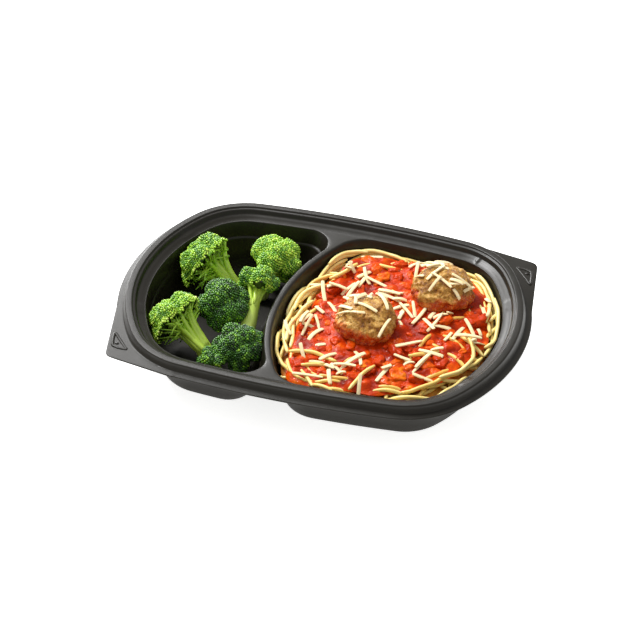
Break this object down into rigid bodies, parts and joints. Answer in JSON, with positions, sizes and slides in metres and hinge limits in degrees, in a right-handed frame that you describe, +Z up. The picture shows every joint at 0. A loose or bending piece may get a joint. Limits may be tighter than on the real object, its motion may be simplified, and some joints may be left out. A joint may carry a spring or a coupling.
{
  "type": "two-compartment takeaway meal tray with food",
  "caption": "Black two-compartment takeaway tray with broccoli florets, spaghetti, tomato sauce, meatballs and shredded cheese.",
  "frame": {"origin": "middle of the tray's underside, on the surface that it rests on", "axes": "+X along the tray towards the spaghetti, +Y across the tray towards its back, +Z up"},
  "size_m": [0.2338, 0.1706, 0.0495],
  "materials": {
    "tray_plastic": "black thermoformed plastic with a soft sheen",
    "broccoli": "cooked broccoli, dark beaded crowns on pale green stems",
    "pasta": "cooked spaghetti, slightly moist",
    "sauce": "wet chunky tomato sauce",
    "meatball": "browned minced meat",
    "cheese": "shredded hard cheese"
  },
  "bodies": {
    "root": {"tray": "tray_plastic", "broccoli_back_left": "broccoli", "broccoli_back_right": "broccoli", "broccoli_middle": "broccoli", "broccoli_inner": "broccoli", "broccoli_front_left": "broccoli", "broccoli_front_right": "broccoli", "broccoli_small": "broccoli", "spaghetti": "pasta", "marinara": "sauce", "meatball_front": "meatball", "meatball_back": "meatball"}
  },
  "joints": []
}
